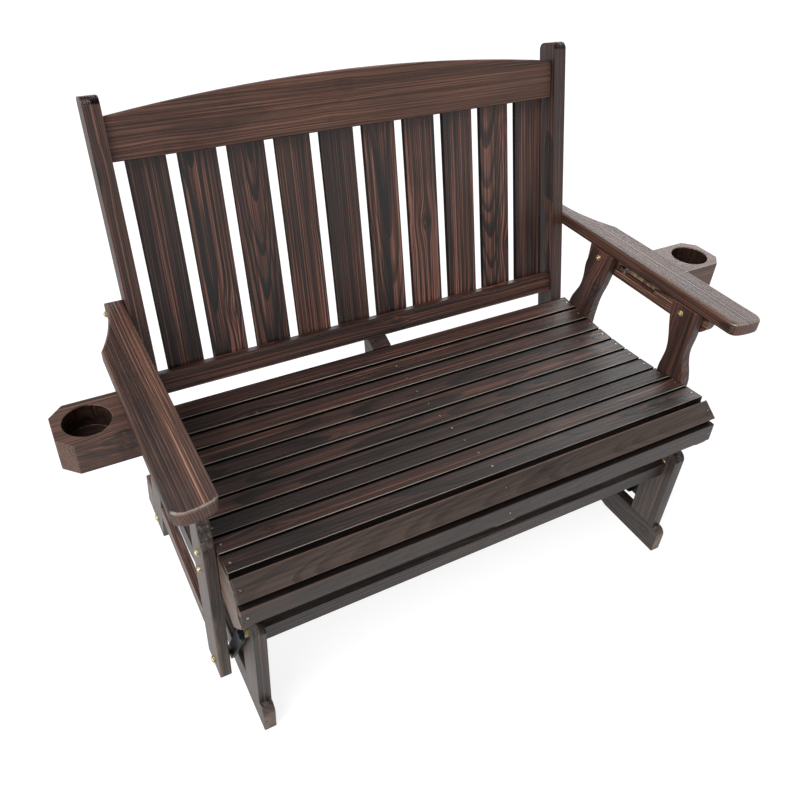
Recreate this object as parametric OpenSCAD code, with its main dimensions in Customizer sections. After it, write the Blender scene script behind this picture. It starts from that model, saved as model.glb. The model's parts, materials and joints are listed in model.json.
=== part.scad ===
// Two-seat porch glider of dark charred-look softwood, in millimetres.
// A swing with a slatted seat, a slatted reclined back, armrests and two cup
// holders hangs on four steel links from a low base on two skids.
// X runs along the seat, Y from the front to the back and Z up. Seen from the
// front, +X is on the right. Left and right in names are as seen from there.
// The floor is at Z = 0, with the origin under the middle of the part's box.

/* [Seat] */
// Width over the two seat side frames
seat_w = 1046; // [960:1:1120]
// Gap between a seat slat's end and the side frame's outer face
slat_inset = 1; // [0:0.5:4]
// Width of a seat slat
slat_w = 41.5; // [36:0.5:43]
// Thickness of a seat slat
slat_t = 18; // [13:0.5:18]
// Distance from one seat slat to the next
slat_pitch = 45.8; // [45:0.1:48]
// Height of the lowest point of the dished seat
seat_h = 401.5; // [390:0.5:425]
// Radius of the dish, front to back
seat_dish_r = 1350; // [1150:10:2500]
// Middle of the rearmost seat slat, behind the build's zero
seat_rear_y = 124.7; // [118:0.1:126]
// Lowest point of the dish, ahead of the build's zero
seat_low_y = -30; // [-60:1:0]
// Thickness of the seat side frames
frame_t = 22; // [18:0.5:26]
// Thickness of the centre support
center_w = 46; // [22:1:60]
// Gap between the rearmost slat and the part of the support behind it
center_gap = 2; // [1:0.5:6]
// Height of the lower edge of the side frames
frame_low_z = 297; // [288:1:305]

/* [Back] */
// Lean of the back from upright, in degrees
recline = 14.6; // [10:0.1:18]
// Front face of the back slats where the lower rail's top is, behind the build's zero
back_y = 206; // [200:0.5:215]
// Height of the lower rail's top edge at that place
back_z = 461; // [450:1:475]
// Width of a back slat
back_slat_w = 75; // [60:0.5:82]
// Thickness of a back slat
back_slat_t = 12; // [9:0.5:15]
// Gap between the left back post and the first back slat
back_end_left = 26.5; // [4:0.5:30]
// Gap between the last back slat and the right back post
back_end_right = 10.4; // [4:0.2:30]
// Thickness of a back post, along X
back_post_t = 31; // [26:0.5:36]
// Depth of a back post, front to back
back_post_d = 52; // [44:0.5:60]
// Radius of the rounded corners on a back post's top
back_post_r = 15; // [6:1:20]
// Length of a back post above the lower rail's top
back_post_up = 532; // [480:1:600]
// Height of the crest's lower edge above the lower rail's top
crest_low = 417; // [380:1:430]
// Height of the crest's top edge at its ends
crest_end = 495.5; // [470:0.5:505]
// Rise of the crest's arched top
crest_rise = 31.5; // [15:0.5:40]
// Thickness of the crest
crest_t = 19.7; // [16:0.1:25]
// Height of the lower back rail
rail_h = 45; // [38:1:52]
// Thickness of the lower back rail
rail_t = 22.8; // [18:0.2:28]

/* [Arms] */
// Height of the armrest tops
arm_h = 611.8; // [600:0.2:640]
// Thickness of an armrest
arm_t = 28; // [22:0.5:32]
// Width of an armrest
arm_w = 74; // [68:1:84]
// Front end of the armrests, ahead of the build's zero
arm_front_y = -330; // [-345:1:-320]
// How far an armrest's rear end stays ahead of the back post's rear edge
arm_rear_in = 4; // [0:0.5:8]
// Width of an armrest at its rear end
arm_rear_w = 35; // [30:1:40]
// Length of the narrowing toward the rear end
arm_taper = 155; // [120:1:170]
// Thickness of an arm post
post_t = 23; // [20:0.5:26]
// Lower end of the front arm posts above the floor
post_foot_front = 55; // [45:1:60]
// Lower end of the rear arm posts above the floor
post_foot_rear = 50; // [45:1:60]
// Thickness of an apron
apron_t = 22; // [18:0.5:24]
// Height of an apron
apron_h = 53; // [46:1:58]

/* [Cup holders] */
// Diameter of a cup well
cup_d = 79; // [68:0.5:86]
// Depth of a cup well
cup_depth = 45; // [30:1:50]
// Width of a cup holder, front to back
cup_w = 111; // [100:1:120]
// Length of a cup holder's block, along X
cup_l = 130; // [122:1:140]
// Height of a cup holder's block
cup_h = 61; // [55:1:66]
// Cut corners at the outer end
cup_chamfer = 25; // [15:1:30]
// Middle of the cup holders, ahead of the build's zero
cup_y = -37; // [-45:1:-30]
// Length of the tongue that slides in the apron's slot
tongue_l = 67; // [60:1:72]
// Thickness of the tongue
tongue_t = 18; // [12:0.5:20]
// How far the left cup holder stands out from the apron
cup_out_left = 13; // [2:1:50]
// How far the right cup holder stands out from the apron
cup_out_right = 58; // [2:1:58]

/* [Base] */
// Thickness of the skids and the base legs
base_t = 24; // [20:0.5:28]
// Height of a skid
skid_h = 66; // [55:1:72]
// Front end of the skids, ahead of the build's zero
skid_front_y = -356; // [-370:1:-350]
// How far a skid runs past its legs at each end
skid_toe = 20; // [10:1:40]
// Length of a skid's flat pad at each end
skid_pad = 159; // [120:1:200]
// Rise of the skid's underside between the pads
skid_relief = 14; // [6:1:20]
// Width of a base leg, front to back
leg_w = 71; // [62:1:78]
// Height of a base leg above its skid
leg_h = 223; // [215:1:228]
// Height of a stretcher
stretcher_h = 37; // [30:1:50]
// Thickness of a stretcher
stretcher_t = 20; // [16:0.5:24]
// Height of a stretcher's lower edge
stretcher_z = 212; // [190:1:220]
// Setback of a stretcher from its leg's outer edge
stretcher_back = 26; // [18:1:30]

/* [Links] */
// Height of the upper pivots
hang_z = 250; // [242:1:254]
// Upper front pivot, ahead of the build's zero
hang_front_y = -305; // [-310:1:-300]
// Upper rear pivot, behind the build's zero
hang_rear_y = 239; // [228:1:272]
// Height of the lower pivots
foot_z = 74; // [68:1:80]
// Lower front pivot, ahead of the build's zero
foot_front_y = -217; // [-225:1:-210]
// Lower rear pivot, behind the build's zero
foot_rear_y = 183; // [178:1:188]
// Width of a link
link_w = 24; // [22:0.5:24]
// Thickness of a link
link_t = 7; // [4:0.5:8]
// Thickness of the spacer washers on both sides of a link
spacer_t = 7.7; // [5:0.1:12]
// Diameter of the pivot bolts
pivot_d = 10; // [8:0.5:11]

/* [Hardware] */
// Diameter of the frame bolts
bolt_d = 8; // [6:0.5:10]
// Diameter of a frame bolt's domed head
bolt_head_d = 14; // [12:0.5:17]
// Diameter of a seat screw's shank
screw_d = 4; // [3:0.5:5]
// Diameter of a seat screw's head
screw_head_d = 7.6; // [6.5:0.1:9]

/* [Clearances] */
// Radial gap around a bolt or screw in its hole
hole_gap = 0.1; // [0.05:0.05:0.3]
// Radial running gap of a pivot bolt in its link
pivot_gap = 0.05; // [0.02:0.01:0.1]
// Extra radius of a rear link's lower hole
loose_gap = 3.4; // [3.2:0.1:3.8]
// Side gap between a moving link and its neighbours
side_gap = 0.3; // [0.2:0.1:0.5]
// Running gap round the tongue in its slot
tongue_gap = 0.3; // [0.2:0.05:0.5]
// Gap between a cup holder's top and the armrest
cup_top_gap = 1; // [0.5:0.5:4]

/* [Hidden] */
$fn = 48;

SLATS = 12;
BACK_SLATS = 10;
function two(i) = i < 10 ? str("0", i) : str(i);

// Places along X, on the +X side
side_x = seat_w / 2;                 // outer face of a seat side frame
slat_x = side_x - slat_inset;        // end of a seat slat
post_x = side_x + post_t;            // outer face of an arm post
apron_x = post_x + apron_t;          // outer face of an apron
back_in = side_x - back_post_t;      // inner face of a back post
screw_x = side_x - frame_t / 2;      // seat screws over a side frame

// A link runs between its arm post and its base leg, with spacers beside it
link_x = side_x - spacer_t - side_gap - link_t;
leg_x = link_x - side_gap - spacer_t; // outer face of a base leg

// Height of the armrests' underside
arm_z = arm_h - arm_t;

// Seat slats. Each pose is [y, z, a]: the middle of the top face, and the
// angle at which that face rises toward the rear. Slat 1 is the rearmost.
dish_n = 9;
nose_step = [[-12.4, -1.2], [-3.0, -14.5]];
nose_tilt = [-5, 36, 88];
function dish_z(y) =
  seat_h + seat_dish_r - sqrt(pow(seat_dish_r, 2) - pow(y - seat_low_y, 2));
function slat_pose(i) =
  i <= dish_n
    ? let (y = seat_rear_y - (i - 1) * slat_pitch)
      [y, dish_z(y), asin((y - seat_low_y) / seat_dish_r)]
    : let (p = slat_pose(i - 1))
      i == dish_n + 1
        ? [p[0] - slat_pitch,
           p[1] - slat_w / 2 * (sin(p[2]) + sin(nose_tilt[0])), nose_tilt[0]]
        : let (k = i - dish_n - 2, a = nose_tilt[k + 1],
               e = slat_corner(i - 1, -1, 0))
          [e[0] + nose_step[k][0] - slat_w / 2 * cos(a),
           e[1] + nose_step[k][1] - slat_w / 2 * sin(a), a];
// A corner of a slat's section: side +1 is the rear edge, deep is the depth
function slat_corner(i, side, deep) =
  let (p = slat_pose(i), a = p[2])
  [p[0] + side * slat_w / 2 * cos(a) + deep * sin(a),
   p[1] + side * slat_w / 2 * sin(a) - deep * cos(a)];

// Top edge of the side frames behind the last slat
frame_top = slat_corner(1, 1, slat_t)[1];

// The back's plane. n is ahead of the slats' front face, s is up along it.
function on_back(n, s) =
  [back_y + s * sin(recline) - n * cos(recline),
   back_z + s * cos(recline) + n * sin(recline)];
// The place in Y of the line at offset n where it passes the height z
function back_line(n, z) =
  back_y + (z - back_z) * tan(recline) - n / cos(recline);
back_post_n = 30;                       // front face of a back post
back_post_rear = back_post_n - back_post_d;

// Arm posts. Edges run smoothly through [z, y] stations.
front_post_front = [[0, -250], [seat_h + 12, -250], [476, -231],
                    [525, -233.5], [arm_z, -234.5]];
front_post_rear = [[0, -177], [seat_h + 12, -178], [474, -184],
                   [550, -166], [arm_z, -164]];
rear_post_front = [[0, 158], [220, 93], [345, 59], [seat_h + 14, 54],
                   [460, 49], [509, 36], [arm_z, 24]];
rear_post_rear = [[0, 229], [245, 163], [345, 138], [seat_h + 20, 127],
                  [470, 106], [500, 102.5], [532, 104], [arm_z, 91]];
function ease(t) = t * t * (3 - 2 * t);
// The slope of a run of stations at station k, for a smooth curve
function slope(e, k) =
  k == 0 ? (e[1][1] - e[0][1]) / (e[1][0] - e[0][0])
  : k == len(e) - 1 ? (e[k][1] - e[k - 1][1]) / (e[k][0] - e[k - 1][0])
  : (e[k + 1][1] - e[k - 1][1]) / (e[k + 1][0] - e[k - 1][0]);
// The edge's place in Y at the height z
function edge_at(e, z, k = 0) =
  k < len(e) - 2 && z > e[k + 1][0] ? edge_at(e, z, k + 1)
  : let (h = e[k + 1][0] - e[k][0], t = (z - e[k][0]) / h,
         m0 = slope(e, k) * h, m1 = slope(e, k + 1) * h)
    e[k][1] * (1 - ease(t)) + e[k + 1][1] * ease(t)
    + m0 * t * pow(1 - t, 2) - m1 * t * t * (1 - t);
edge_step = 12;

// Rails and blocks on the arm posts
post_rail_t = 18;
post_rail_z = [140, 185];
block_z = [57, 160];
block_w = 52;
block_t = 20;

// Frame bolts through the arm posts into the seat sides, as [y, z]
function under_slats(y) = dish_z(y) - slat_t - bolt_d;
seat_bolts = [[-216, under_slats(-216)], [-213, seat_h - 60],
              [92, under_slats(92)], [97, seat_h - 60]];
// Frame bolts through the arm posts into the aprons
apron_bolts = [[-193, arm_z - 20], [67, arm_z - 20]];
// Rear end of the armrests
arm_rear_y = back_line(back_post_rear, arm_h - arm_t / 2) - arm_rear_in;
// Frame bolt through an armrest's rear end into the back post
arm_bolt = [back_line((back_post_n + back_post_rear) / 2, arm_h - arm_t / 2) + 2,
            arm_h - arm_t / 2];
bolt_l = 40;
bolt_head_h = 6;
screw_l = 30;
screw_head_h = 2;

// Aprons and cup holders
apron_y = [-247, 122];
apron_z = arm_z - apron_h;
slot_z = arm_z - 26;
cup_top = arm_z - cup_top_gap;
cup_well_in = cup_w / 2;

// Base
leg_front = skid_front_y + skid_toe;
leg_z = skid_h;
leg_top = skid_h + leg_h;
leg_rear = hang_rear_y + (hang_front_y - leg_front);
skid_rear_y = leg_rear + skid_toe;
corner_r = 20;

// Hanger and foot bolts
pivot_r = pivot_d / 2;
washer_r = link_w / 2 - 0.5;
pivot_head_h = 6;
nut_r = pivot_r * 1.7;
low_head_h = 3;

// The origin lies on the floor, under the middle of the whole part's box. It is
// measured from the middle between the arms and the build's own zero in Y.
origin_x = (cup_out_right - cup_out_left) / 2;
origin_y = (min(skid_front_y, slat_corner(SLATS, -1, 0)[0])
            + on_back(back_post_rear + back_post_r, back_post_up - back_post_r)[0]
            + back_post_r) / 2;

wood = "#3d2a22";
wood_warm = "#5a3a2b";
steel = "#2b3038";
brass = "#b59a55";

// A board whose outline is drawn in the Y Z plane, from x0 to x1
module board(x0, x1) {
  translate([x0, 0, 0]) rotate([90, 0, 90]) linear_extrude(x1 - x0) children();
}
// A copy for the left side, or the shape itself for the right side
module sided(s) { if (s > 0) children(); else mirror([1, 0, 0]) children(); }
// Everything, moved so that the part's origin is where the header says
module at_origin() translate([-origin_x, -origin_y, 0]) children();
// A cylinder along X from x0 to x1, at y and z
module rod(x0, x1, y, z, r) {
  translate([x0, y, z]) rotate([0, 90, 0]) cylinder(r = r, h = x1 - x0);
}
// A frame with the back's lean: its own -Y looks forward, its Z runs up
module back_frame() {
  translate([0, back_y, back_z]) rotate([-recline, 0, 0]) children();
}
// The frame of seat slat i: Z is square to its top face
module slat_frame(i) {
  p = slat_pose(i);
  translate([0, p[0], p[1]]) rotate([p[2], 0, 0]) children();
}

// Base: skids, legs and stretchers
module skid(s) {
  foot = 60;
  color(wood) sided(s) board(leg_x - base_t, leg_x) difference() {
    translate([skid_front_y, 0]) square([skid_rear_y - skid_front_y, skid_h]);
    polygon([[skid_front_y + skid_pad, -1],
             [skid_front_y + skid_pad + foot, skid_relief],
             [skid_rear_y - skid_pad - foot, skid_relief],
             [skid_rear_y - skid_pad, -1]]);
    for (m = [0, 1])
      translate([m ? skid_rear_y : skid_front_y, skid_h]) mirror([m, 0])
        corner_cut(corner_r);
  }
}
// What is cut away to round a top corner at the origin
module corner_cut(r) {
  difference() {
    translate([-1, -r]) square([r + 1, r + 1]);
    translate([r, -r]) circle(r, $fn = 96);
  }
}
module leg(s, rear) {
  y0 = rear ? leg_rear - leg_w : leg_front;
  color(wood) sided(s) difference() {
    board(leg_x - base_t, leg_x) difference() {
      translate([y0, leg_z]) square([leg_w, leg_h]);
      translate([rear ? y0 + leg_w : y0, leg_top]) mirror([rear ? 1 : 0, 0])
        corner_cut(corner_r);
    }
    rod(leg_x - base_t - 1, leg_x + 1, rear ? hang_rear_y : hang_front_y,
        hang_z, pivot_r + hole_gap);
    // The bolt's head is let in flush, so the stretcher's end can lie on it
    rod(leg_x - base_t - 1, leg_x - base_t + pivot_head_h,
        rear ? hang_rear_y : hang_front_y, hang_z, nut_r + hole_gap);
  }
}
module stretcher(rear) {
  y0 = rear ? leg_rear - stretcher_back - stretcher_t
            : leg_front + stretcher_back;
  color(wood) translate([base_t - leg_x, y0, stretcher_z])
    cube([2 * (leg_x - base_t), stretcher_t, stretcher_h]);
}

// Steel links and their bolts
module link(s, rear) {
  a = rear ? [hang_rear_y, hang_z] : [hang_front_y, hang_z];
  b = rear ? [foot_rear_y, foot_z] : [foot_front_y, foot_z];
  l = norm(b - a);
  color(steel) sided(s) board(link_x, link_x + link_t)
    translate(a) rotate(atan2(b[1] - a[1], b[0] - a[0])) difference() {
      union() {
        circle(d = link_w, $fn = 96);
        translate([l, 0]) circle(d = link_w, $fn = 96);
        translate([0, -link_w / 2]) square([l, link_w]);
      }
      circle(pivot_r + pivot_gap);
      translate([l, 0]) circle(pivot_r + (rear ? loose_gap : pivot_gap));
    }
}
module washer(x0, x1, y, z, r) {
  difference() {
    rod(x0, x1, y, z, r);
    rod(x0 - 1, x1 + 1, y, z, pivot_r + pivot_gap);
  }
}
// A domed head that rises from x0 toward dir, cut from a ball
module dome(x0, dir, y, z, d, h) {
  ball = (d * d / 4 + h * h) / (2 * h);
  translate([x0, y, z]) rotate([0, dir * 90, 0])
    rotate_extrude() intersection() {
      translate([0, h - ball]) circle(ball, $fn = 96);
      square([d / 2, h]);
    }
}
module hanger_bolts() {
  color(brass) for (s = [-1, 1], y = [hang_front_y, hang_rear_y]) sided(s) {
    inner = leg_x - base_t;
    outer = link_x + link_t + side_gap;
    union() {
      rod(inner, inner + pivot_head_h, y, hang_z, nut_r);
      rod(inner, outer, y, hang_z, pivot_r);
      rod(outer, outer + low_head_h, y, hang_z, nut_r);
    }
    washer(leg_x, leg_x + spacer_t, y, hang_z, washer_r);
  }
}
module foot_bolts() {
  color(brass) for (s = [-1, 1], y = [foot_front_y, foot_rear_y]) sided(s) {
    inner = link_x - side_gap;
    union() {
      dome(post_x, 1, y, foot_z, 2 * nut_r, pivot_head_h);
      rod(inner, post_x, y, foot_z, pivot_r);
      rod(inner - low_head_h, inner, y, foot_z, nut_r);
    }
    washer(side_x - spacer_t, side_x, y, foot_z, washer_r);
  }
}

// Arm posts with their rails and blocks
module post_outline(front, rear, foot) {
  n = ceil((arm_z - foot) / edge_step);
  zs = [for (k = [0:n]) foot + (arm_z - foot) * k / n];
  polygon(concat([for (z = zs) [edge_at(front, z), z]],
                 [for (k = [n:-1:0]) [edge_at(rear, zs[k]), zs[k]]]));
}
module arm_post(s, rear) {
  color(wood) sided(s) difference() {
    board(side_x, post_x)
      post_outline(rear ? rear_post_front : front_post_front,
                   rear ? rear_post_rear : front_post_rear,
                   rear ? post_foot_rear : post_foot_front);
    rod(side_x - 1, post_x + 1, rear ? foot_rear_y : foot_front_y, foot_z,
        pivot_r + hole_gap);
    for (k = rear ? [2, 3] : [0, 1])
      rod(side_x - 1, post_x + 1, seat_bolts[k][0], seat_bolts[k][1],
          bolt_d / 2 + hole_gap);
    rod(side_x - 1, post_x + 1, apron_bolts[rear ? 1 : 0][0],
        apron_bolts[0][1], bolt_d / 2 + hole_gap);
  }
}
module post_rail(s) {
  zs = [for (k = [0:4]) post_rail_z[0] + (post_rail_z[1] - post_rail_z[0]) * k / 4];
  color(wood_warm) sided(s) board(post_x - post_rail_t, post_x)
    polygon(concat([for (z = zs) [edge_at(front_post_rear, z) + 0.1, z]],
                   [for (k = [4:-1:0])
                     [edge_at(rear_post_front, zs[k]) - 0.1, zs[k]]]));
}
module post_block(s) {
  zs = [for (k = [0:6]) block_z[0] + (block_z[1] - block_z[0]) * k / 6];
  color(wood_warm) sided(s) board(post_x - block_t, post_x)
    polygon(concat([for (z = zs) [edge_at(rear_post_rear, z) + 0.1, z]],
                   [for (k = [6:-1:0])
                     [edge_at(rear_post_rear, zs[k]) + block_w, zs[k]]]));
}

// Seat
module seat_outline(rear_n, rear_top) {
  nose = slat_corner(SLATS, -1, 0);
  under = slat_corner(SLATS, -1, 3);
  top = [for (i = [1:SLATS], e = [1, -1]) slat_corner(i, e, slat_t)];
  polygon(concat(
    [[back_line(rear_n, frame_low_z), frame_low_z]], rear_top, top,
    [under, [nose[0] + 9, nose[1] - 15],
     [nose[0] + 53, frame_low_z - 18], [nose[0] + 86, frame_low_z]]));
}
module seat_screw_holes(x) {
  for (i = [1:SLATS]) slat_frame(i) translate([x, 0, -screw_l - 0.5])
    cylinder(r = screw_d / 2 + hole_gap, h = screw_l + 1);
}
module seat_side(s) {
  color(wood) sided(s) difference() {
    board(side_x - frame_t, side_x) seat_outline(
      back_post_rear, [[back_line(back_post_rear, frame_top), frame_top]]);
    seat_screw_holes(screw_x);
    for (b = seat_bolts)
      rod(post_x - bolt_l, side_x + 1, b[0], b[1], bolt_d / 2 + hole_gap);
  }
}
// The centre support runs on under the lower back rail, which rests on it
module seat_center() {
  side = 1 + 2 * center_gap / slat_w;
  color(wood) difference() {
    board(-center_w / 2, center_w / 2) seat_outline(
      0, [on_back(0, -rail_h), on_back(rail_t, -rail_h),
          slat_corner(1, side, 0), slat_corner(1, side, slat_t)]);
    seat_screw_holes(0);
  }
}
module seat_slat(i) {
  color(wood) slat_frame(i) difference() {
    translate([-slat_x, -slat_w / 2, -slat_t]) cube([2 * slat_x, slat_w, slat_t]);
    for (x = [-screw_x, 0, screw_x]) translate([x, 0, 0]) {
      translate([0, 0, -slat_t - 1])
        cylinder(r = screw_d / 2 + hole_gap, h = slat_t + 2);
      translate([0, 0, -screw_head_h])
        cylinder(r = screw_head_d / 2 + hole_gap, h = screw_head_h + 1);
    }
  }
}
module seat_screws() {
  color(steel) for (i = [1:SLATS]) slat_frame(i)
    for (x = [-screw_x, 0, screw_x]) translate([x, 0, 0]) {
      translate([0, 0, -screw_head_h])
        cylinder(r = screw_head_d / 2, h = screw_head_h);
      translate([0, 0, -screw_l]) cylinder(r = screw_d / 2, h = screw_l - 1);
    }
}

// Back
module back_post(s) {
  foot = (frame_low_z + 14 - back_z) / cos(recline);
  r = back_post_r;
  color(wood) sided(s) difference() {
    back_frame() translate([back_in, 0, 0]) rotate([90, 0, 90])
      linear_extrude(back_post_t) difference() {
        translate([-back_post_n, foot])
          square([back_post_d, back_post_up - foot]);
        translate([-back_post_n, back_post_up]) corner_cut(r);
        translate([-back_post_rear, back_post_up]) mirror([1, 0])
          corner_cut(r);
      }
    // The lap over the seat side frame
    translate([side_x - frame_t, 0, 0])
      cube([frame_t + 1, back_y + back_post_d, frame_top]);
    rod(back_in + 10, side_x + 1, arm_bolt[0], arm_bolt[1],
        bolt_d / 2 + hole_gap);
  }
}
module crest_rail() {
  half = back_in;
  arch_r = (half * half + crest_rise * crest_rise) / (2 * crest_rise);
  top = crest_end + crest_rise;
  color(wood) back_frame() rotate([90, 0, 0]) linear_extrude(crest_t)
    intersection() {
      translate([-half, crest_low]) square([2 * half, top - crest_low]);
      translate([0, top - arch_r]) circle(arch_r, $fn = 720);
    }
}
module back_rail() {
  color(wood) back_frame() translate([-back_in, -rail_t, -rail_h])
    cube([2 * back_in, rail_t, rail_h]);
}
module back_slat(j) {
  room = 2 * back_in - back_end_left - back_end_right - back_slat_w;
  left = back_end_left - back_in + (j - 1) * room / (BACK_SLATS - 1);
  low = -rail_h + 5;
  high = crest_end - 15;
  color(wood) back_frame() translate([left, 0, low])
    cube([back_slat_w, back_slat_t, high - low]);
}

// Arms
module armrest(s) {
  r = 22;
  out = side_x + arm_w;
  narrow = arm_w - arm_rear_w;
  bow = 8;
  color(wood) sided(s) difference() {
    translate([0, 0, arm_z]) linear_extrude(arm_t) polygon(concat(
      [[side_x, arm_rear_y]],
      [for (k = [12:-1:0]) let (t = k / 12)
        [side_x + arm_rear_w + narrow * pow(1 - t, 2),
         arm_rear_y - arm_taper * (1 - t)]],
      [for (a = [0:-10:-90])
        [out - r + r * cos(a), arm_front_y + r + r * sin(a)]],
      [for (k = [1:8]) let (t = k / 8)
        [out - r - (arm_w - r) * t, arm_front_y + bow * t * t]]));
    rod(side_x - 1, out, arm_bolt[0], arm_bolt[1], bolt_d / 2 + hole_gap);
  }
}
module apron(s) {
  r = 28;
  slot_w = cup_w + 3 + 2 * tongue_gap;
  slot_h = tongue_t + 2 * tongue_gap;
  color(wood_warm) sided(s) difference() {
    board(post_x, apron_x) difference() {
      translate([apron_y[0], apron_z])
        square([apron_y[1] - apron_y[0], apron_h]);
      translate([apron_y[0], apron_z]) mirror([0, 1]) corner_cut(r);
      translate([cup_y, slot_z]) {
        square([slot_w - slot_h, slot_h], center = true);
        for (e = [-1, 1]) translate([e * (slot_w - slot_h) / 2, 0])
          circle(d = slot_h);
      }
    }
    for (b = apron_bolts)
      rod(post_x - 1, side_x + bolt_l, b[0], b[1], bolt_d / 2 + hole_gap);
  }
}
module cup_holder(s) {
  x0 = apron_x + (s > 0 ? cup_out_right : cup_out_left);
  x1 = x0 + cup_l;
  y0 = cup_y - cup_w / 2;
  y1 = cup_y + cup_w / 2;
  c = cup_chamfer;
  tongue_w = cup_w + 3 - (tongue_t + 2 * tongue_gap);
  color(wood) sided(s) difference() {
    union() {
      translate([0, 0, cup_top - cup_h]) linear_extrude(cup_h)
        polygon([[x0, y0], [x1 - c, y0], [x1, y0 + c], [x1, y1 - c],
                 [x1 - c, y1], [x0, y1]]);
      translate([x0 - tongue_l, cup_y - tongue_w / 2, slot_z - tongue_t / 2])
        cube([tongue_l + 1, tongue_w, tongue_t]);
    }
    translate([x1 - cup_well_in, cup_y, cup_top - cup_depth])
      cylinder(d = cup_d, h = cup_depth + 1, $fn = 96);
  }
}

// Frame bolts: heads outside on the seat sides and arm ends, inside on aprons
module frame_bolt(x0, dir, y, z, l) {
  dome(x0, dir, y, z, bolt_head_d, bolt_head_h);
  rod(dir > 0 ? x0 - l : x0, dir > 0 ? x0 : x0 + l, y, z, bolt_d / 2);
}
module frame_bolts() {
  color(brass) for (s = [-1, 1]) sided(s) {
    for (b = seat_bolts)
      union() frame_bolt(post_x, 1, b[0], b[1], bolt_l - 1);
    for (b = apron_bolts)
      union() frame_bolt(side_x, -1, b[0], b[1], bolt_l - 1);
    union() frame_bolt(side_x + arm_rear_w + arm_bolt_proud(), 1, arm_bolt[0],
                       arm_bolt[1], arm_rear_w + back_post_t - 12);
  }
}
// The armrest is a little wider at its bolt than at its rear end
function arm_bolt_proud() =
  (arm_w - arm_rear_w) * pow((arm_rear_y - arm_bolt[0]) / arm_taper, 2) + 0.3;

at_origin() {
  skid(-1);  // skid_left
  skid(1);  // skid_right
  leg(-1, false);  // leg_front_left
  leg(1, false);  // leg_front_right
  leg(-1, true);  // leg_rear_left
  leg(1, true);  // leg_rear_right
  stretcher(false);  // stretcher_front
  stretcher(true);  // stretcher_rear
  hanger_bolts();
  link(-1, false);  // link_front_left
  link(1, false);  // link_front_right
  link(-1, true);  // link_rear_left
  link(1, true);  // link_rear_right
  foot_bolts();
  arm_post(-1, false);  // arm_post_front_left
  arm_post(1, false);  // arm_post_front_right
  arm_post(-1, true);  // arm_post_rear_left
  arm_post(1, true);  // arm_post_rear_right
  post_rail(-1);  // post_rail_left
  post_rail(1);  // post_rail_right
  post_block(-1);  // post_block_left
  post_block(1);  // post_block_right
  seat_side(-1);  // seat_side_left
  seat_side(1);  // seat_side_right
  seat_center();
  back_post(-1);  // back_post_left
  back_post(1);  // back_post_right
  crest_rail();
  back_rail();
  apron(-1);  // apron_left
  apron(1);  // apron_right
  armrest(-1);  // armrest_left
  armrest(1);  // armrest_right
  cup_holder(-1);  // cup_holder_left
  cup_holder(1);  // cup_holder_right
  seat_screws();
  frame_bolts();
  for (i = [1:SLATS])
    seat_slat(i);
  for (j = [1:BACK_SLATS])
    back_slat(j);
}
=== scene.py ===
"""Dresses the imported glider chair: charred-look softwood boards, steel links,
yellow-passivated bolts, a studio floor, soft lights and the photograph's camera."""

import json
import math
import random

import bmesh
import bpy
from mathutils import Matrix, Vector


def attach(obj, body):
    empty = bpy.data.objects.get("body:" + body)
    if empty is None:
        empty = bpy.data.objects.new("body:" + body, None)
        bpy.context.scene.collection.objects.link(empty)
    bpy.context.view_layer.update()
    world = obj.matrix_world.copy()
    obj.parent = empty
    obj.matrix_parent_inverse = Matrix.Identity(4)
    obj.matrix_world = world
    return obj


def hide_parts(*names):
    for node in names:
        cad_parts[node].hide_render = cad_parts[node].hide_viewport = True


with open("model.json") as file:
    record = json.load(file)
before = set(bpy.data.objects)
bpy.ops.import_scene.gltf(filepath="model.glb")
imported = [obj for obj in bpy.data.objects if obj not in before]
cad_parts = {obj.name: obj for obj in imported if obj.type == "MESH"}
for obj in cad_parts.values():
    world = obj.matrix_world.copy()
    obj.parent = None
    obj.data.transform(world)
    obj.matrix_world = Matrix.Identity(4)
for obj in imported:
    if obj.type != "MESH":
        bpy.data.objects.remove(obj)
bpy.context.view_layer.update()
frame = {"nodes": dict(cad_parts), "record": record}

NODES = frame["nodes"]
BODY_OF = {
    node: body
    for body, nodes in frame["record"]["behaviour"]["bodies"].items()
    for node in nodes
}
WELD, NEAR, SAME = 1e-6, 1e-5, 1e-4  # tolerances, in metres


def placed(name, data):
    """A new object in the scene."""
    obj = bpy.data.objects.new(name, data)
    bpy.context.scene.collection.objects.link(obj)
    return obj


def mesh_from(bm, name):
    """A new mesh object from a finished bmesh, which is freed."""
    mesh = bpy.data.meshes.new(name)
    bm.to_mesh(mesh)
    bm.free()
    return placed(name, mesh)


def welded(node):
    """A bmesh of a node's shape, with one vertex where several meet."""
    bm = bmesh.new()
    bm.from_mesh(NODES[node].data)
    bmesh.ops.remove_doubles(bm, verts=bm.verts, dist=WELD)
    return bm


# Camera

# Place in metres, direction in degrees, focal length and axis in pixels
CAM_PLACE = Vector((-0.7372, -1.0895, 1.4349))
CAM_AZIMUTH, CAM_ELEVATION, CAM_ROLL = 29.522, 37.592, 2.789
CAM_FOCAL_PX = 776.8
CAM_AXIS_PX = (375.3, 373.8)
IMAGE_PX = 800
SENSOR_MM = 36.0


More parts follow.
